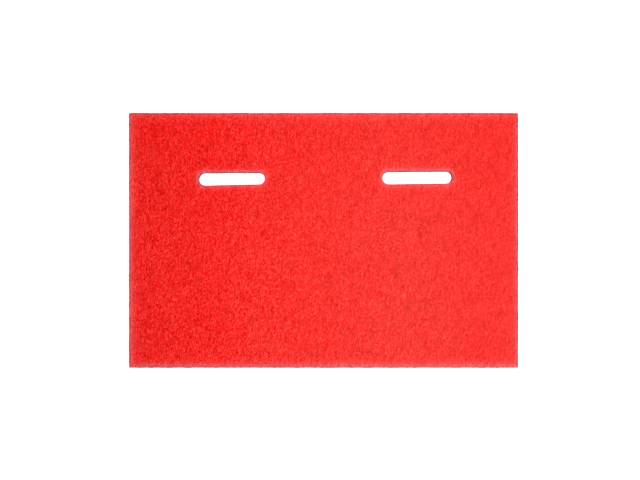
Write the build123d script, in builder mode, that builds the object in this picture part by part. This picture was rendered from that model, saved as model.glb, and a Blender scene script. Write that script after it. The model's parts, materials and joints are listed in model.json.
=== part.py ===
from build123d import *
import os

# A rectangular non-woven floor pad with two long slots, lying flat.
#
# Millimetres. X runs along the pad's length and Y across its width, with the
# slotted side towards +Y. Z points up, and the pad rests on the plane Z = 0.
# The origin is at the middle of the underside.

os.makedirs("parts", exist_ok=True)

# The pad: one bonded web of fibres, cut to a rectangle.
pad_length = 550.0
pad_width = 360.0
pad_thickness = 20.0
corner_radius = 1.5  # the upright corners, worn round by handling
edge_radius = 1.0  # where the outer sides meet the top and the underside

# The two slots, which are alike and lie in one line along X.
slot_length = 98.0  # from round end to round end
slot_width = 19.0
slot_spacing = 264.0  # from centre to centre
slot_line_y = 88.0  # from the pad's middle to the line through both slots

with BuildPart() as floor_pad:
    with BuildSketch(Plane.XY):
        RectangleRounded(pad_length, pad_width, corner_radius)
    extrude(amount=pad_thickness)

    # The rims are rounded before the slots are cut, so the slots keep crisp mouths.
    top_rim = floor_pad.faces().sort_by(Axis.Z)[-1].edges()
    bottom_rim = floor_pad.faces().sort_by(Axis.Z)[0].edges()
    fillet(top_rim + bottom_rim, radius=edge_radius)

    # Each slot goes right through the pad.
    with BuildSketch(Plane.XY):
        with Locations((0, slot_line_y)):
            with GridLocations(slot_spacing, 0, 2, 1):
                SlotOverall(slot_length, slot_width)
    extrude(amount=pad_thickness, mode=Mode.SUBTRACT)

floor_pad.part.label = "floor_pad"
export_step(floor_pad.part, "parts/floor_pad.step")
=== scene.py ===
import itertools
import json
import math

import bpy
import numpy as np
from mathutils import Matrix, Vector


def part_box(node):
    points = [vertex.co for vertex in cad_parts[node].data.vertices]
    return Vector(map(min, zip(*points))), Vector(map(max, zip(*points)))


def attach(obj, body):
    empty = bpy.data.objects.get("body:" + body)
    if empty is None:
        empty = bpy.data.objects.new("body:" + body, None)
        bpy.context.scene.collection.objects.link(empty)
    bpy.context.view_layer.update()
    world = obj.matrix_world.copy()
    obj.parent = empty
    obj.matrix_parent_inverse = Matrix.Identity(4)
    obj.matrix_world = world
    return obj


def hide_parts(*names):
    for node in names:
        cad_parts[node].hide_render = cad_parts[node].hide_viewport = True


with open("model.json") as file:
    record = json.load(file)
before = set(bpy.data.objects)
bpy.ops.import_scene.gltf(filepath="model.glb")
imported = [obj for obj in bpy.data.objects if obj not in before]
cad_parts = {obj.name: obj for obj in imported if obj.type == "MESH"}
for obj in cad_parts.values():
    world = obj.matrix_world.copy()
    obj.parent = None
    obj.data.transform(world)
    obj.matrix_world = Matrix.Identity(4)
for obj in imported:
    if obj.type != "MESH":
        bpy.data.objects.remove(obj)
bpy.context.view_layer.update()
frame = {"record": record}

# Looks of a rectangular non-woven floor pad: an open web of curled red fibres with two long slots.
#
# The web is made of one closed core mesh, which has the web's lumps and hollows, and of thousands
# of curled strands that lie over each of its faces: the top, the underside, the outer sides and the
# walls of the slots. Every strand is a closed tube. All sizes are in metres, in the frame of the
# CAD model, which has +X along the pad, +Y across it towards its slots, and +Z up.

MM = 0.001
NODE = "floor_pad"
BAKE_MAP = "OFBake"  # the UV map that gives each strand a tile of its own

# ---------------------------------------------------------------- sizes from the frame

pad_low, pad_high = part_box(NODE)
half_length = (pad_high[0] - pad_low[0]) / 2
half_width = (pad_high[1] - pad_low[1]) / 2
thickness = pad_high[2] - pad_low[2]
floor_level = pad_low[2]

slots_mount = next(m for m in frame["record"]["mounts"] if m["name"] == "driver_slots")
slot_spacing = slots_mount["dims"]["spacing_x_mm"] * MM
slot_length = slots_mount["dims"]["slot_length_mm"] * MM
slot_radius = slots_mount["dims"]["hole_r_mm"] * MM
slot_line_y = slots_mount["pos_m"][1]

# How each punched slot strays from the design, as a soft web is never cut quite true and swells
# back a little: side, shift along X and Y, extra length, turn in degrees, and how much narrower
# the radius of each round end is.
SLOT_CUTS = (
    {
        "side": -1,
        "shift": (1.95 * MM, -1.05 * MM),
        "longer": -3.65 * MM,
        "turn": 0.62,
        "tighter": (0.33 * MM, 1.15 * MM),
    },
    {
        "side": 1,
        "shift": (0.95 * MM, 0.65 * MM),
        "longer": 1.4 * MM,
        "turn": 0.6,
        "tighter": (0.46 * MM, 0.6 * MM),
    },
)

# The web's cut rims.
CORNER_RADIUS = 1.5 * MM  # of the pad's upright corners
RIM_RADIUS = 2.0 * MM  # the punch rounds the web's rims as it cuts
SIDE_FRAY_SHEEN = 3.7 * MM  # how far the pale pink of cut fibre and painted sheen fades into the web from a side
SIDES_FRAY_SHEEN = (1.0, 0.6, 1.0, 0.65)  # how strongly, on the -X, +X, -Y and +Y sides
SLOT_FRAY_SHEEN = 2.4 * MM  # and how far from a slot
CUT_FACE_FADE = 1.6 * MM  # how far the look of a rim goes on along the upright cut face
RIM_SHADE_REACH = 1.9 * MM  # how far the painted shade of a cut rim, a duller red, goes into the web
RIM_SHADE_WAY = (0.8, -0.6)  # painted shade is deepest at rims where this way, towards the painted light, leads into the web
RIM_SHADE_ALL_ROUND = 0.38  # how much of its red every side's rim loses to painted shade
RIM_SHADE_BY_WAY = 0.24  # and how much more or less it loses with its way
RIM_SHADE_AT_SLOTS = 0.45  # a slot's rim gets this share of the painted shade

# The strands, and the core that they lie on.
STRAND_RADIUS = 0.23 * MM
STRAND_STEP = 2.1 * MM  # from ring to ring along a strand
WEB_DEPTH = 1.5 * MM  # the strands lie within this depth of each face
WEB_RUN = math.radians(72.0)  # from +X: most fibres lie near the way that the web was laid
RUN_SPREAD = 0.36  # radians, of the strands about that way
ROUND_SPREAD = 0.35  # and of those on a cut face about the way round it
LONG = (12 * MM, 30 * MM)  # the shortest and longest strand on the upper and lower faces
SHORT = (8 * MM, 24 * MM)  # and on the cut faces
SHEAF = 3200  # strands in each piece of the upper and lower faces
TOP_SHEAVES = 8
UNDER_SHEAVES = 4
UNDER_CLEAR = 0.5 * MM  # keeps the relief of the under strands off the floor
SIDE_STRANDS = 2300
SLOT_STRANDS = 330  # in each slot
WALL_STEP = 0.5 * MM  # from point to point of the outline that a cut face follows
CORE_STEP = 2.3 * MM  # from point to point of the core's mesh
CORE_INSET = 0.95 * MM  # how far the core lies below the upper and lower faces
RIM_PROUD = 0.25 * MM  # how far the core's cut faces stand out beyond the outline
RIM_INSET = 0.1 * MM  # how much less they do so at the upper and lower rims
WAIST = 0.75 * MM  # how much further in the core lies between the rims, under the side strands

# Seeds. A face's core and its strands share the seed of its relief.
TOP_RELIEF = 11
UNDER_RELIEF = 21
CUT_RELIEF = 31
TOP_SEED = 100
UNDER_SEED = 200
SIDE_SEED = 300
SLOT_SEED = 310


# ---------------------------------------------------------------- noise and outlines

NOISE_TABLE = 4096  # random values in each table, a power of two
HASH_PRIMES = np.array([73856093, 19349663, 83492791])  # large primes that scatter a cell's index


def lumps(points, cell, seed):
    """Smooth noise from -1 to 1 at each row of points, with lumps about one cell across."""
    table = np.random.default_rng(seed).uniform(-1.0, 1.0, NOISE_TABLE)
    scaled = np.asarray(points) / cell
    base = np.floor(scaled).astype(np.int64)
    part = scaled - base
    part = part * part * (3.0 - 2.0 * part)
    total = np.zeros(len(scaled))
    for corner in itertools.product((0, 1), repeat=3):
        where = base + np.array(corner)
        key = np.bitwise_xor.reduce(where * HASH_PRIMES, axis=1)
        weight = np.prod(np.where(np.array(corner) == 1, part, 1.0 - part), axis=1)
        total += weight * table[key & (NOISE_TABLE - 1)]
    return total


def relief(points, seed):
    """Height of the web's lumps and hollows at each row of points."""
    broad = lumps(points, 26 * MM, seed)
    middle = lumps(points, 8.5 * MM, seed + 1)
    fine = lumps(points, 3.6 * MM, seed + 2)
    return (0.05 * broad + 0.05 * middle + 0.22 * fine) * MM


def rim_drop(distance):
    """How far the face has curved down at each distance from a cut edge."""
    back = RIM_RADIUS - np.clip(distance, 0.0, RIM_RADIUS)
    reached = 0.93 * back  # the curve ends before it is quite upright
    return RIM_RADIUS - np.sqrt(RIM_RADIUS**2 - reached**2)


def slot_shape(cut):
    """A slot's centre, direction, half of its whole length, and the radius of each round end."""
    shift_x, shift_y = cut["shift"]
    centre = np.array([cut["side"] * slot_spacing / 2 + shift_x, slot_line_y + shift_y])
    turn = math.radians(cut["turn"])
    along = np.array([math.cos(turn), math.sin(turn)])
    half = (slot_length + cut["longer"]) / 2
    first, second = (slot_radius - tighter for tighter in cut["tighter"])
    return centre, along, half, first, second


SLOTS = [slot_shape(cut) for cut in SLOT_CUTS]


def outside_slot(xy, slot):
    """Distance of each point of the plane from a slot's wall, negative inside the slot."""
    centre, along, half, first, second = slot
    across = np.array([-along[1], along[0]])
    u = (xy - centre) @ along
    v = (xy - centre) @ across
    start, end = first - half, half - second
    on_axis = np.clip(u, start, end)
    radius = first + (second - first) * (on_axis - start) / (end - start)
    return np.hypot(u - on_axis, v) - radius


def from_sides(xy):
    """Distance of each point of the plane from the nearest side of the pad, positive inside."""
    return np.minimum(half_length - np.abs(xy[:, 0]), half_width - np.abs(xy[:, 1]))


def from_slots(xy):
    """Distance of each point of the plane from the nearest slot's wall, negative inside a slot."""
    return np.min([outside_slot(xy, slot) for slot in SLOTS], axis=0)


def inside_web(xy):
    """Distance of each point of the plane from the nearest cut edge, positive within the web."""
    return np.minimum(from_sides(xy), from_slots(xy))


def near_a_rim(points):
    """How near each point is to the upper or lower face, from 1 there to 0 far from both."""
    height = points[:, 2] - floor_level
    below = np.clip(np.minimum(height, thickness - height) - WEB_DEPTH, 0.0, None)
    return np.exp(-below / CUT_FACE_FADE)


def fray_and_sheen(points):
    """How pale the web is at each point, from 1 at a cut rim to 0: part cut fibre, part painted
    sheen.
    """
    x, y = points[:, 0], points[:, 1]
    depths = np.stack([half_length + x, half_length - x, half_width + y, half_width - y])
    fade = np.exp(-np.clip(depths, 0.0, None) / SIDE_FRAY_SHEEN)
    side = np.max(np.array(SIDES_FRAY_SHEEN)[:, None] * fade, axis=0)
    slot = np.exp(-np.clip(from_slots(points[:, :2]), 0.0, None) / SLOT_FRAY_SHEEN)
    near = near_a_rim(points)
    return np.maximum(side * (0.15 + 0.85 * near), slot * (0.45 + 0.55 * near))


def uphill(distance, xy, reach=0.05 * MM):
    """Unit direction in which a distance function grows, at each point of the plane."""
    slope = np.empty_like(xy)
    for axis in (0, 1):
        ahead = np.zeros(2)
        ahead[axis] = reach
        slope[:, axis] = distance(xy + ahead) - distance(xy - ahead)
    return slope / np.maximum(np.linalg.norm(slope, axis=1), 1e-12)[:, None]


def painted_shade_near_rims(points):
    """Painted shade near the web's cut rims: how much of its red the web loses at each point, more
    on the sides turned away from the painted light.
    """
    xy = points[:, :2]
    facing = uphill(inside_web, xy) @ np.array(RIM_SHADE_WAY)
    fade = np.exp(-np.clip(inside_web(xy), 0.0, None) / RIM_SHADE_REACH)
    share = np.where(from_slots(xy) < from_sides(xy), RIM_SHADE_AT_SLOTS, 1.0)
    return share * (RIM_SHADE_ALL_ROUND + RIM_SHADE_BY_WAY * facing) * fade * near_a_rim(points)


def arc(centre, radius, start, end, steps):
    """Points of an arc in the plane, with its angles in degrees."""
    angle = np.radians(np.linspace(start, end, steps))
    x = centre[0] + radius * np.cos(angle)
    y = centre[1] + radius * np.sin(angle)
    return np.column_stack([x, y])


def side_outline():
    """The pad's outer edge, anticlockwise from above, with small round corners."""
    x, y = half_length - CORNER_RADIUS, half_width - CORNER_RADIUS
    corners = ((x, -y, -90), (x, y, 0), (-x, y, 90), (-x, -y, 180))
    return np.vstack(
        [arc((cx, cy), CORNER_RADIUS, turn, turn + 90, 6) for cx, cy, turn in corners]
    )


def slot_outline(slot):
    """A slot's edge, clockwise from above, so that the web is on its left."""
    centre, along, half, first, second = slot
    across = np.array([-along[1], along[0]])
    local = np.vstack(
        [
            arc((half - second, 0.0), second, 90, -90, 15),
            arc((first - half, 0.0), first, 270, 90, 15),
        ]
    )
    return centre + local[:, :1] * along + local[:, 1:] * across


# ---------------------------------------------------------------- mesh helpers


def new_piece(name, vertices, faces_by_size, material):
    """A smooth-shaded mesh object from its vertices and an array of faces for each size of face."""
    mesh = bpy.data.meshes.new(name)
    mesh.vertices.add(len(vertices))
    mesh.vertices.foreach_set("co", np.asarray(vertices, dtype=np.float32).ravel())
    corners = np.concatenate([faces.ravel() for faces in faces_by_size])
    sizes = np.concatenate([np.full(len(faces), faces.shape[1]) for faces in faces_by_size])
    mesh.loops.add(len(corners))
    mesh.loops.foreach_set("vertex_index", corners.astype(np.int32))
    mesh.polygons.add(len(sizes))
    starts = np.concatenate([[0], np.cumsum(sizes)[:-1]])
    mesh.polygons.foreach_set("loop_start", starts.astype(np.int32))
    mesh.polygons.foreach_set("use_smooth", np.full(len(sizes), True))
    mesh.update(calc_edges=True)
    mesh.materials.append(material)
    piece = bpy.data.objects.new(name, mesh)
    bpy.context.scene.collection.objects.link(piece)
    return piece


def mark(piece, name, values):
    """Stores one number for each vertex, which the materials read by name."""
    attribute = piece.data.attributes.new(name, "FLOAT", "POINT")
    attribute.data.foreach_set("value", np.asarray(values, dtype=np.float32))


def finish_piece(piece):
    """The piece moves with the pad and stands for its CAD solid, which is hidden."""
    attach(piece, "root")
    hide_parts(NODE)


# ---------------------------------------------------------------- materials

CLUMP_SHAPE = (0.55, 1.9, 1.0)  # how clumps are stretched across and along the web's run
STREAK_SHAPE = (0.55, 6.0, 1.0)  # and the streaks, which are longer
STREAK_RUN = math.radians(84.0)


class Nodes:
    """A material's node tree, with short calls for adding and joining nodes."""

    def __init__(self, name):
        self.material = bpy.data.materials.new(name)
        self.material.use_nodes = True
        self.tree = self.material.node_tree
        self.shader = self.tree.nodes["Principled BSDF"]

    def add(self, kind, **settings):
        node = self.tree.nodes.new(kind)
        for key, value in settings.items():
            setattr(node, key, value)
        return node

    def join(self, output, socket):
        self.tree.links.new(output, socket)

    def drawn_out(self, coordinates, turn, size):
        """Coordinates that turn a texture, and stretch its shapes by size along its own axes."""
        node = self.add("ShaderNodeMapping", vector_type="TEXTURE")
        self.join(coordinates, node.inputs["Vector"])
        node.inputs["Rotation"].default_value = (0.0, 0.0, turn)
        node.inputs["Scale"].default_value = size
        return node.outputs["Vector"]

    def noise(self, coordinates, scale):
        """Plain noise of a single size, with about so many lumps to the metre."""
        node = self.add("ShaderNodeTexNoise")
        node.inputs["Scale"].default_value = scale
        node.inputs["Detail"].default_value = 0.0
        self.join(coordinates, node.inputs["Vector"])
        return node.outputs["Fac"]

    def scaled(self, value, factor, added, clamp=False):
        """value * factor + added, where each is a number or an output."""
        node = self.add("ShaderNodeMath", operation="MULTIPLY_ADD", use_clamp=clamp)
        for socket, term in zip(node.inputs, (value, factor, added)):
            if isinstance(term, float):
                socket.default_value = term
            else:
                self.join(term, socket)
        return node.outputs["Value"]

    def spread(self, value, low, high, to_low=0.0, to_high=1.0, clamp=True):
        """Stretches the values from low to high over the range from to_low to to_high."""
        node = self.add("ShaderNodeMapRange", clamp=clamp)
        self.join(value, node.inputs["Value"])
        node.inputs["From Min"].default_value = low
        node.inputs["From Max"].default_value = high
        node.inputs["To Min"].default_value = to_low
        node.inputs["To Max"].default_value = to_high
        return node.outputs["Result"]

    def mark(self, name):
        """A number that the mesh stores for each vertex."""
        return self.add("ShaderNodeAttribute", attribute_name=name).outputs["Fac"]

    def colour(self, value):
        node = self.add("ShaderNodeRGB")
        node.outputs["Color"].default_value = (*value, 1.0)
        return node.outputs["Color"]

    def ramp(self, factor, *stops):
        """A colour that changes with factor, from (place, colour) to (place, colour)."""
        node = self.add("ShaderNodeValToRGB")
        ramp = node.color_ramp
        while len(ramp.elements) < len(stops):
            ramp.elements.new(0.5)
        for element, (place, colour) in zip(ramp.elements, stops):
            element.position = place
            element.color = (*colour, 1.0)
        self.join(factor, node.inputs["Fac"])
        return node.outputs["Color"]

    def mix(self, kind, factor, first, second):
        """Mixes two colours; factor is a number or an output."""
        node = self.add("ShaderNodeMix", data_type="RGBA", blend_type=kind)
        if isinstance(factor, float):
            node.inputs["Factor"].default_value = factor
        else:
            self.join(factor, node.inputs["Factor"])
        self.join(first, node.inputs["A"])
        self.join(second, node.inputs["B"])
        return node.outputs["Result"]


def across_pad(m, axis, half):
    """How far across the pad a point lies along X or Y, from 0 at the lower end to 1."""
    place = m.add("ShaderNodeSeparateXYZ")
    m.join(m.add("ShaderNodeTexCoord").outputs["Object"], place.inputs["Vector"])
    return m.spread(place.outputs[axis], -half, half)


def clumps_with_sheen_and_shade(m):
    """How thick the fibres and their resin lie, from 0 in a gap to 1 on a clump. The materials use
    it for painted shade in the gaps and painted sheen on the clumps.

    The clumps are about 1 mm wide and 2 to 4 mm long, drawn out along the web's run. With them go
    longer streaks and fainter, wider clumps. The painted shade and sheen are strongest at the pad's
    -X end.
    """
    place = m.add("ShaderNodeTexCoord").outputs["Object"]
    clumps = m.drawn_out(place, WEB_RUN - math.pi / 2, CLUMP_SHAPE)
    streaks = m.drawn_out(place, STREAK_RUN - math.pi / 2, STREAK_SHAPE)
    layers = (
        (clumps, 800.0, 1.45),
        (clumps, 480.0, 0.9),
        (clumps, 210.0, 0.15),
        (clumps, 90.0, 0.05),
        (clumps, 36.0, 0.03),
        (streaks, 480.0, 0.6),
    )
    total = 0.0
    for vector, scale, share in layers:
        total = m.scaled(m.noise(vector, scale), share, total)
    # The sum lies round 1.59, which is half of all the shares.
    swing = m.spread(total, 1.36, 1.82, -0.85, 0.85, clamp=False)
    # Painted light: the painted shade and sheen of the clumps are strongest at the -X end.
    contrasts = ((0.0, 0.52), (0.16, 0.455), (0.45, 0.215), (1.0, 0.11))
    contrast = m.ramp(
        across_pad(m, "X", half_length), *((spot, (value,) * 3) for spot, value in contrasts)
    )
    return m.scaled(swing, contrast, 0.5, clamp=True)


def painted_light_across_pad(m, colour):
    """Painted light: painted sheen pales the red most a little right of the pad's middle, and
    painted shade deepens it towards the -X end and a little towards the +Y side.
    """
    along = m.ramp(
        across_pad(m, "X", half_length),
        (0.0, (0.853, 0.37, 0.366)),
        (0.22, (0.907, 0.44, 0.432)),
        (0.32, (0.903, 0.63, 0.625)),
        (0.7, (0.877, 1.0, 1.0)),
        (1.0, (0.877, 0.90, 0.92)),
    )
    across = m.ramp(
        across_pad(m, "Y", half_width),
        (0.55, (1.0, 1.0, 1.0)),
        (0.9, (1.0, 0.87, 0.85)),
    )
    return m.mix("MULTIPLY", 1.0, m.mix("MULTIPLY", 1.0, colour, along), across)


def cut_rims(m, colour, clump_sheen_and_shade, pale):
    """Fades a colour into a pale pink, partly cut fibre and partly painted sheen, most on the
    clumps, and takes away some of its red for the painted shade of the rims.
    """
    catch = m.scaled(clump_sheen_and_shade, 0.6, 0.8)
    amount = m.scaled(m.mark("fray_sheen"), catch, 0.0, clamp=True)
    faded = m.mix("MIX", amount, colour, m.colour(pale))
    # Painted shade on the rims: some of their red is taken away.
    return m.mix("MULTIPLY", m.mark("rim_shade_mark"), faded, m.colour((0.0, 1.0, 1.0)))


def strand_material():
    """Resin-coated fibre: each strand has its own red, deeper as painted shade on the deeper
    strands, and the clumps are paler with painted sheen and the gaps darker with painted shade.
    """
    m = Nodes("resin_coated_fibre")
    clump_sheen_and_shade = clumps_with_sheen_and_shade(m)
    # The fibre's own grain, with painted shade in the gaps and painted sheen on the clumps.
    resin = m.ramp(
        clump_sheen_and_shade,
        (0.0, (0.77, 0.0004, 0.0001)),
        (0.5, (0.915, 0.041, 0.0338)),
        (1.0, (0.985, 0.16, 0.138)),
    )
    # Each strand's own red, deeper on the strands that lie deeper in the web: painted shade.
    own = m.ramp(
        m.mark("tint_and_depth_shade"),
        (0.0, (0.965, 0.78, 0.78)),
        (0.6, (0.985, 0.95, 0.95)),
        (1.0, (1.0, 1.0, 1.0)),
    )
    # The red takes the painted sheen and shade that lie across the pad.
    red = painted_light_across_pad(m, m.mix("MULTIPLY", 1.0, resin, own))
    red = cut_rims(m, red, clump_sheen_and_shade, (0.84, 0.16, 0.172))
    m.join(red, m.shader.inputs["Base Color"])
    m.shader.inputs["Roughness"].default_value = 0.5
    m.shader.inputs["Specular IOR Level"].default_value = 0.03
    return m.material


def core_material():
    """The depth of the web: a little darker than the strands, which is painted shade of its depth,
    with a bump on its clumps.
    """
    m = Nodes("packed_fibre")
    clump_sheen_and_shade = clumps_with_sheen_and_shade(m)
    # Darker than the strands' colours, as painted shade of the depth; painted shade in the gaps,
    # painted sheen on the clumps.
    resin = m.ramp(
        clump_sheen_and_shade,
        (0.0, (0.76, 0.0004, 0.0001)),
        (0.5, (0.90, 0.033, 0.0272)),
        (1.0, (0.975, 0.137, 0.115)),
    )
    # The red takes the painted sheen and shade that lie across the pad.
    red = cut_rims(m, painted_light_across_pad(m, resin), clump_sheen_and_shade, (0.80, 0.147, 0.159))
    m.join(red, m.shader.inputs["Base Color"])
    bump = m.add("ShaderNodeBump")
    bump.inputs["Strength"].default_value = 0.9
    bump.inputs["Distance"].default_value = 0.6 * MM
    m.join(clump_sheen_and_shade, bump.inputs["Height"])
    m.join(bump.outputs["Normal"], m.shader.inputs["Normal"])
    m.shader.inputs["Roughness"].default_value = 0.6
    m.shader.inputs["Specular IOR Level"].default_value = 0.0
    return m.material


# ---------------------------------------------------------------- the core


def core_grid():
    """The plan of the core: grid points drawn onto the cut edges, and which cells hold web."""
    columns = round(2 * half_length / CORE_STEP)
    rows = round(2 * half_width / CORE_STEP)
    xs = np.linspace(-half_length, half_length, columns + 1)
    ys = np.linspace(-half_width, half_width, rows + 1)
    plan = np.stack(np.meshgrid(xs, ys, indexing="ij"), axis=-1)
    middles = (plan[:-1, :-1] + plan[1:, 1:]) / 2

    kept = (from_slots(middles.reshape(-1, 2)) > 0.0).reshape(columns, rows)
    padded = np.pad(kept, 1)
    around = np.stack([padded[:-1, :-1], padded[1:, :-1], padded[:-1, 1:], padded[1:, 1:]])
    used = around.any(axis=0)
    edge = used & ~around.all(axis=0)
    outer = np.zeros_like(used)
    outer[[0, -1], :] = True
    outer[:, [0, -1]] = True

    # Points on a slot's edge are drawn onto its outline, and their neighbours follow smoothly.
    on_slot = edge & ~outer
    for _ in range(4):
        spots = plan[on_slot]
        plan[on_slot] = spots - from_slots(spots)[:, None] * uphill(from_slots, spots)
    near = (from_slots(plan.reshape(-1, 2)) < 4 * CORE_STEP).reshape(used.shape) & used & ~edge
    for _ in range(12):
        beside = plan[:-2, 1:-1] + plan[2:, 1:-1]
        average = np.zeros_like(plan)
        average[1:-1, 1:-1] = (beside + plan[1:-1, :-2] + plan[1:-1, 2:]) / 4
        plan[near] = average[near]
    return plan, kept, used, edge


def edge_pairs(kept, number):
    """Pairs of neighbouring grid points along the cut edges, with the web on each pair's left."""
    padded = np.pad(kept, 1)
    here = padded[1:-1, 1:-1]
    pairs = []
    for missing, first, second in (
        (~padded[1:-1, :-2], (0, 0), (1, 0)),
        (~padded[2:, 1:-1], (1, 0), (1, 1)),
        (~padded[1:-1, 2:], (1, 1), (0, 1)),
        (~padded[:-2, 1:-1], (0, 1), (0, 0)),
    ):
        i, j = np.nonzero(here & missing)
        starts = number[i + first[0], j + first[1]]
        ends = number[i + second[0], j + second[1]]
        pairs.append(np.column_stack([starts, ends]))
    return np.vstack(pairs)


def make_core(material):
    """The closed core: lumpy upper and lower faces, joined by lumpy walls with a waist."""
    plan, kept, used, edge = core_grid()
    number = np.full(used.shape, -1)
    number[used] = np.arange(used.sum())
    flat = plan[used]
    at_edge = edge[used]
    count = len(flat)

    # The cut faces stand a little proud of the outline, and lie further in between the rims.
    inward = np.zeros_like(flat)
    just_inside = flat[at_edge] * (1 - 1e-6)
    inward[at_edge] = uphill(inside_web, just_inside)
    levels = round((thickness - 2 * CORE_INSET) / CORE_STEP)
    low, high = floor_level + CORE_INSET, floor_level + thickness - CORE_INSET

    def face(level, seed, sign, rounding):
        xy = flat + inward * (RIM_INSET - RIM_PROUD)
        spots = np.column_stack([flat, np.full(count, level)])
        rise = relief(spots, seed) - rounding * rim_drop(inside_web(flat))
        return np.column_stack([xy, level + sign * rise])

    top = face(high, TOP_RELIEF, 1.0, 1.0)
    under = face(low, UNDER_RELIEF, -1.0, 0.3)
    ring = np.nonzero(at_edge)[0]
    walls = []
    for level in range(1, levels):
        share = level / levels
        z = under[ring, 2] * (1 - share) + top[ring, 2] * share
        spots = np.column_stack([flat[ring], z * 1.6])
        waist = WAIST * math.sin(math.pi * share) ** 0.5
        inset = waist - RIM_PROUD - 0.8 * relief(spots, CUT_RELIEF)
        xy = flat[ring] + inward[ring] * inset[:, None]
        walls.append(np.column_stack([xy, z]))
    vertices = np.vstack([under, top, *walls])

    i, j = np.nonzero(kept)
    corners = [number[i, j], number[i + 1, j], number[i + 1, j + 1], number[i, j + 1]]
    upper = np.column_stack(corners) + count
    lower = np.column_stack(corners[::-1])
    place = np.full(count, -1)
    place[ring] = np.arange(len(ring))
    pairs = edge_pairs(kept, number)

    def row(level, points):
        """The vertices above some points of the cut edge, at one level of the wall."""
        if level == 0:
            return points
        if level == levels:
            return points + count
        return 2 * count + (level - 1) * len(ring) + place[points]

    first, second = pairs.T
    sides = [
        np.column_stack([row(k, first), row(k, second), row(k + 1, second), row(k + 1, first)])
        for k in range(levels)
    ]
    piece = new_piece("web_core", vertices, [np.vstack([upper, lower, *sides])], material)
    # The pale rims, partly painted sheen, and the rims' painted shade, as marks on the vertices.
    mark(piece, "fray_sheen", fray_and_sheen(vertices))
    mark(piece, "rim_shade_mark", painted_shade_near_rims(vertices))
    finish_piece(piece)


# ---------------------------------------------------------------- the strands


def spread_evenly(laid, count):
    """The next points over the unit square, each in a gap that the ones laid before it left."""
    steps = np.array([0.7548776662, 0.5698402910])  # the golden ratio's counterpart in the plane
    return (np.arange(laid, laid + count)[:, None] * steps) % 1.0


class Flat:
    """The pad's upper or lower face. Strands lie within WEB_DEPTH of it."""

    def __init__(self, level, sign, seed):
        self.level, self.sign, self.seed = level, sign, seed
        self.size = np.array([2 * half_length, 2 * half_width])
        self.laid = 0

    def start(self, rng, count):
        """Where the strands begin, and their headings: either way along the web's run."""
        spots = (spread_evenly(self.laid, count) - 0.5) * self.size
        self.laid += count
        heading = WEB_RUN + rng.normal(0.0, RUN_SPREAD, count)
        return spots, heading + np.pi * rng.integers(0, 2, count)

    def room(self, u, v):
        """How far each point is inside the face, negative where a strand would leave it."""
        spots = np.column_stack([u.ravel(), v.ravel()])
        return inside_web(spots).reshape(u.shape)

    def place(self, u, v, depth):
        """The points in space at the given depths in the web, and the face's normal there."""
        spots = np.column_stack([u, v, np.full(len(u), self.level)])
        sunk = depth + rim_drop(inside_web(spots[:, :2]))
        height = self.level + self.sign * (relief(spots, self.seed) * 0.6 - sunk)
        normal = np.zeros((len(u), 3))
        normal[:, 2] = self.sign
        return np.column_stack([u, v, height]), normal


class Wall:
    """An upright cut face round a closed outline, with the web on the outline's left.

    It has the same calls as Flat. Here u runs round the outline and v is the height over the floor.
    """

    def __init__(self, outline, seed):
        closed = np.vstack([outline, outline[:1]])
        lengths = np.linalg.norm(np.diff(closed, axis=0), axis=1)
        run = np.concatenate([[0.0], np.cumsum(lengths)])
        self.round = run[-1]
        self.run = np.linspace(0.0, self.round, int(self.round / WALL_STEP))
        self.line = np.column_stack([np.interp(self.run, run, closed[:, k]) for k in (0, 1)])
        ahead = np.roll(self.line[:-1], -1, axis=0) - np.roll(self.line[:-1], 1, axis=0)
        ahead = np.vstack([ahead, ahead[:1]])
        ahead /= np.linalg.norm(ahead, axis=1)[:, None]
        self.away = np.column_stack([ahead[:, 1], -ahead[:, 0]])
        self.seed = seed

    def start(self, rng, count):
        spots = spread_evenly(0, count) * (self.round, thickness)
        return spots, rng.normal(0.0, ROUND_SPREAD, count) + np.pi * rng.integers(0, 2, count)

    def room(self, u, v):
        return np.minimum(v - 0.5 * MM, thickness - 0.3 * MM - v)

    def place(self, u, v, depth):
        along = np.mod(u, self.round)
        line, away = (
            np.column_stack([np.interp(along, self.run, values[:, k]) for k in (0, 1)])
            for values in (self.line, self.away)
        )
        away /= np.linalg.norm(away, axis=1)[:, None]
        spots = np.column_stack([line, v])
        out = 0.35 * MM + relief(spots, self.seed) * 0.3 - 0.6 * depth
        level = floor_level + v
        normal = np.column_stack([away, np.zeros(len(u))])
        return np.column_stack([line + away * out[:, None], level]), normal


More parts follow.
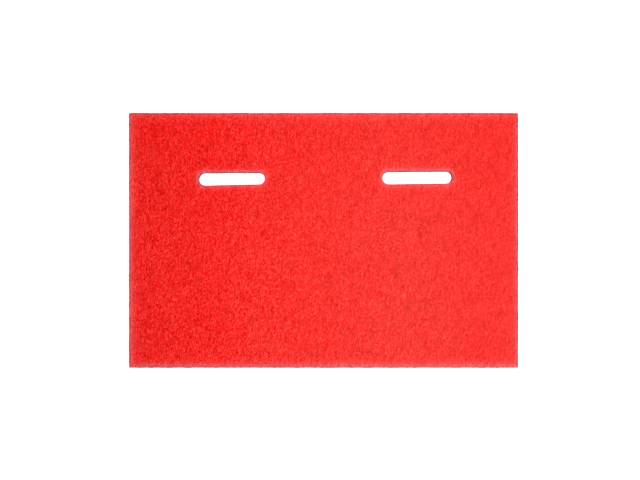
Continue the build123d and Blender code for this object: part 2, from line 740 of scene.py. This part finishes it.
def curled_paths(rng, surface, count, length, curl=1.0):
    """Curled strands on a surface, cut through where they would leave it.

    Returns the points, the surface's normal at each, each strand's first point and number of
    points, and each strand's place in the depth of the web, from 0 at the surface to 1.
    """
    steps = int(length[1] / STRAND_STEP) + 1
    s = np.arange(steps) * STRAND_STEP
    spots, heading = surface.start(rng, count)
    own = rng.uniform(length[0], length[1], count)

    def wave(size, shortest, longest):
        """A sine along each strand, with a swing and a period of its own."""
        swing = rng.normal(0.0, size, (count, 1))
        period = rng.uniform(shortest, longest, (count, 1))
        return swing * np.sin(2 * np.pi * (s / period + rng.uniform(0.0, 1.0, (count, 1))))

    bend = rng.normal(0.0, 28.0, (count, 1)) * s  # radians, from so many to the metre
    bend = bend + wave(0.75, 11 * MM, 22 * MM)
    bend = bend + wave(0.35, 5 * MM, 9 * MM)
    turn = heading[:, None] + curl * bend
    u = spots[:, :1] + np.cumsum(np.cos(turn), axis=1) * STRAND_STEP
    v = spots[:, 1:] + np.cumsum(np.sin(turn), axis=1) * STRAND_STEP
    layer = rng.beta(1.1, 1.3, count)
    crimp = wave(0.35 * MM, 6 * MM, 12 * MM)
    depth = STRAND_RADIUS + layer[:, None] * (WEB_DEPTH - STRAND_RADIUS) + crimp
    depth = np.maximum(depth, STRAND_RADIUS * rng.uniform(0.2, 1.0, (count, 1)))

    room = surface.room(u, v)
    runs = np.cumprod((room > 0.0) & (s <= own[:, None]), axis=1).astype(bool)
    sizes = runs.sum(axis=1)

    # A strand that leaves the surface ends where it crosses the edge, with a point out of turn.
    cut = np.nonzero((sizes > 0) & (sizes < steps))[0]
    out = sizes[cut]
    leaves = room[cut, out] <= 0.0
    cut, out = cut[leaves], out[leaves]
    last_room = room[cut, out - 1]
    share = np.clip(last_room / (last_room - room[cut, out]), 0.2, 1.0)
    for place in (u, v):
        place[cut, out] = place[cut, out - 1] + share * (place[cut, out] - place[cut, out - 1])
    runs[cut, out] = True
    runs[runs.sum(axis=1) < 3] = False
    sizes = runs.sum(axis=1)
    kept = sizes > 0
    points, normals = surface.place(u[runs], v[runs], depth[runs])
    sizes = sizes[kept]
    first = np.concatenate([[0], np.cumsum(sizes)[:-1]])
    return points, normals, first, sizes, layer[kept]


def make_strands(name, paths, rng, material):
    """One piece of closed three-sided tubes along the paths, each a little tapered at its ends."""
    points, normals, first, sizes, layer = paths
    total = len(points)
    strand = np.repeat(np.arange(len(sizes)), sizes)
    step = np.arange(total) - first[strand]
    last = step == sizes[strand] - 1

    before = np.where(step == 0, np.arange(total), np.arange(total) - 1)
    after = np.where(last, np.arange(total), np.arange(total) + 1)
    along = points[after] - points[before]
    along /= np.linalg.norm(along, axis=1)[:, None]
    across = np.cross(along, normals)
    across /= np.maximum(np.linalg.norm(across, axis=1), 1e-9)[:, None]
    up = np.cross(across, along)

    radius = STRAND_RADIUS * rng.uniform(0.75, 1.25, len(sizes))[strand]
    radius = np.where((step == 0) | last, 0.6, 1.0) * radius
    rings = [
        points + radius[:, None] * (math.cos(angle) * across + math.sin(angle) * up)
        for angle in np.radians((90.0, 210.0, 330.0))
    ]
    vertices = np.stack(rings, axis=1).reshape(-1, 3)

    # The corners of each face, as points of the paths and sides of the tubes.
    here = np.nonzero(~last)[0]
    beyond = here + 1
    starts, ends = first, first + sizes - 1
    tube_corners = [
        [(here, side), (beyond, side), (beyond, side + 1), (here, side + 1)] for side in range(3)
    ]
    cap_corners = [[(starts, side) for side in (0, 1, 2)], [(ends, side) for side in (2, 1, 0)]]

    def faces(rows):
        return np.vstack(
            [np.column_stack([3 * point + side % 3 for point, side in row]) for row in rows]
        )

    piece = new_piece(name, vertices, [faces(tube_corners), faces(cap_corners)], material)

    # Each strand has one tile of the UV map: its length runs across the tile and its sides up it.
    tiles = math.ceil(math.sqrt(len(sizes)))
    margin = 0.12

    def tile(point, side):
        owner = strand[point]
        share = step[point] / (sizes[owner] - 1)
        x = (owner % tiles + margin + (1 - 2 * margin) * share) / tiles
        y = (owner // tiles + margin + (1 - 2 * margin) * side / 3) / tiles
        return np.column_stack([x, y])

    tiled = [
        np.stack([tile(point, side) for point, side in row], axis=1).reshape(-1, 2)
        for row in tube_corners + cap_corners
    ]
    uv_map = piece.data.uv_layers.new(name=BAKE_MAP)
    uv_map.data.foreach_set("uv", np.concatenate(tiled).astype(np.float32).ravel())

    # Each strand's own red at random, less pale the deeper it lies in the web: painted shade of the
    # depth.
    tint_and_depth_shade = np.clip(rng.normal(0.62, 0.2, len(sizes)) - 0.35 * layer, 0.0, 1.0)
    mark(piece, "tint_and_depth_shade", np.repeat(tint_and_depth_shade[strand], 3))
    # The pale rims, partly painted sheen, and the rims' painted shade, as marks on the vertices.
    mark(piece, "fray_sheen", np.repeat(fray_and_sheen(points), 3))
    mark(piece, "rim_shade_mark", np.repeat(painted_shade_near_rims(points), 3))
    finish_piece(piece)


# ---------------------------------------------------------------- building the pad

make_core(core_material())
fibre = strand_material()

# Each face's strands come in sheaves, which are pieces of their own: the upper face has more.
top_face = Flat(floor_level + thickness, 1.0, TOP_RELIEF)
under_face = Flat(floor_level + UNDER_CLEAR, -1.0, UNDER_RELIEF)
for label, surface, sheaves, seed in (
    ("top", top_face, TOP_SHEAVES, TOP_SEED),
    ("under", under_face, UNDER_SHEAVES, UNDER_SEED),
):
    for sheaf in range(sheaves):
        rng = np.random.default_rng(seed + sheaf)
        paths = curled_paths(rng, surface, SHEAF, LONG)
        make_strands(f"{label}_fibres_{sheaf + 1}", paths, rng, fibre)

for label, outline, count, seed in (
    ("side", side_outline(), SIDE_STRANDS, SIDE_SEED),
    ("left_slot", slot_outline(SLOTS[0]), SLOT_STRANDS, SLOT_SEED),
    ("right_slot", slot_outline(SLOTS[1]), SLOT_STRANDS, SLOT_SEED),
):
    rng = np.random.default_rng(seed)
    paths = curled_paths(rng, Wall(outline, CUT_RELIEF), count, SHORT, curl=0.5)
    make_strands(f"{label}_fibres", paths, rng, fibre)


# ---------------------------------------------------------------- floor, light and camera

SENSOR_WIDTH = 36.0  # mm, of a full-frame camera


def make_floor():
    """A plain floor that shows as pure white, but lights the pad only as a pale floor does."""
    m = Nodes("white_floor")
    m.shader.inputs["Base Color"].default_value = (0.75, 0.75, 0.75, 1.0)
    m.shader.inputs["Roughness"].default_value = 0.8
    m.shader.inputs["Specular IOR Level"].default_value = 0.0
    m.shader.inputs["Emission Color"].default_value = (0.84, 0.84, 0.84, 1.0)
    seen = m.add("ShaderNodeLightPath").outputs["Is Camera Ray"]
    m.join(seen, m.shader.inputs["Emission Strength"])
    bpy.ops.mesh.primitive_circle_add(
        vertices=96, radius=6.0, fill_type="NGON", location=(0, 0, floor_level)
    )
    floor = bpy.context.object
    floor.name = "floor"
    floor.data.materials.append(m.material)


def aim(thing, target):
    """Points the -Z axis of a light or camera at a target."""
    way = Vector(target) - thing.location
    thing.rotation_euler = way.to_track_quat("-Z", "Y").to_euler()


def add_softbox(name, place, target, size, power):
    """A square area light, with its place and size in metres and its power in watts."""
    light = bpy.data.lights.new(name, "AREA")
    light.shape = "SQUARE"
    light.size = size
    light.energy = power
    box = bpy.data.objects.new(name, light)
    bpy.context.scene.collection.objects.link(box)
    box.location = place
    aim(box, target)


def light_studio():
    """A white room, with a softbox high above the pad, a little to the right."""
    world = bpy.data.worlds.new("studio")
    world.use_nodes = True
    tree = world.node_tree
    room = tree.nodes["Background"]
    room.inputs["Color"].default_value = (1.0, 1.0, 1.0, 1.0)
    room.inputs["Strength"].default_value = 0.36
    seen = tree.nodes.new("ShaderNodeBackground")
    seen.inputs["Color"].default_value = (1.0, 1.0, 1.0, 1.0)
    seen.inputs["Strength"].default_value = 1.0
    path = tree.nodes.new("ShaderNodeLightPath")
    choice = tree.nodes.new("ShaderNodeMixShader")
    tree.links.new(path.outputs["Is Camera Ray"], choice.inputs["Fac"])
    tree.links.new(room.outputs["Background"], choice.inputs[1])
    tree.links.new(seen.outputs["Background"], choice.inputs[2])
    tree.links.new(choice.outputs["Shader"], tree.nodes["World Output"].inputs["Surface"])
    bpy.context.scene.world = world
    add_softbox("key", (0.2, -0.05, 1.95), (0.05, 0.0, 0.0), 0.6, 43.0)
    bpy.context.scene.view_settings.view_transform = "Standard"
    bpy.context.scene.view_settings.look = "None"


def add_camera():
    """Straight above the pad, a little to the left of its middle, with the slots at the top."""
    height = 1.67  # above the pad's upper face
    pad_share = 0.6086  # how much of the picture's width the pad fills
    view_width = 2 * half_length / pad_share
    data = bpy.data.cameras.new("camera")
    data.sensor_width = SENSOR_WIDTH
    data.lens = SENSOR_WIDTH * height / view_width
    camera = bpy.data.objects.new("camera", data)
    bpy.context.scene.collection.objects.link(camera)
    camera.location = (-5.1 * MM, 0.6 * MM, floor_level + thickness + height)
    camera.rotation_euler = (0.0, 0.0, 0.0)
    bpy.context.scene.camera = camera


make_floor()
light_studio()
add_camera()
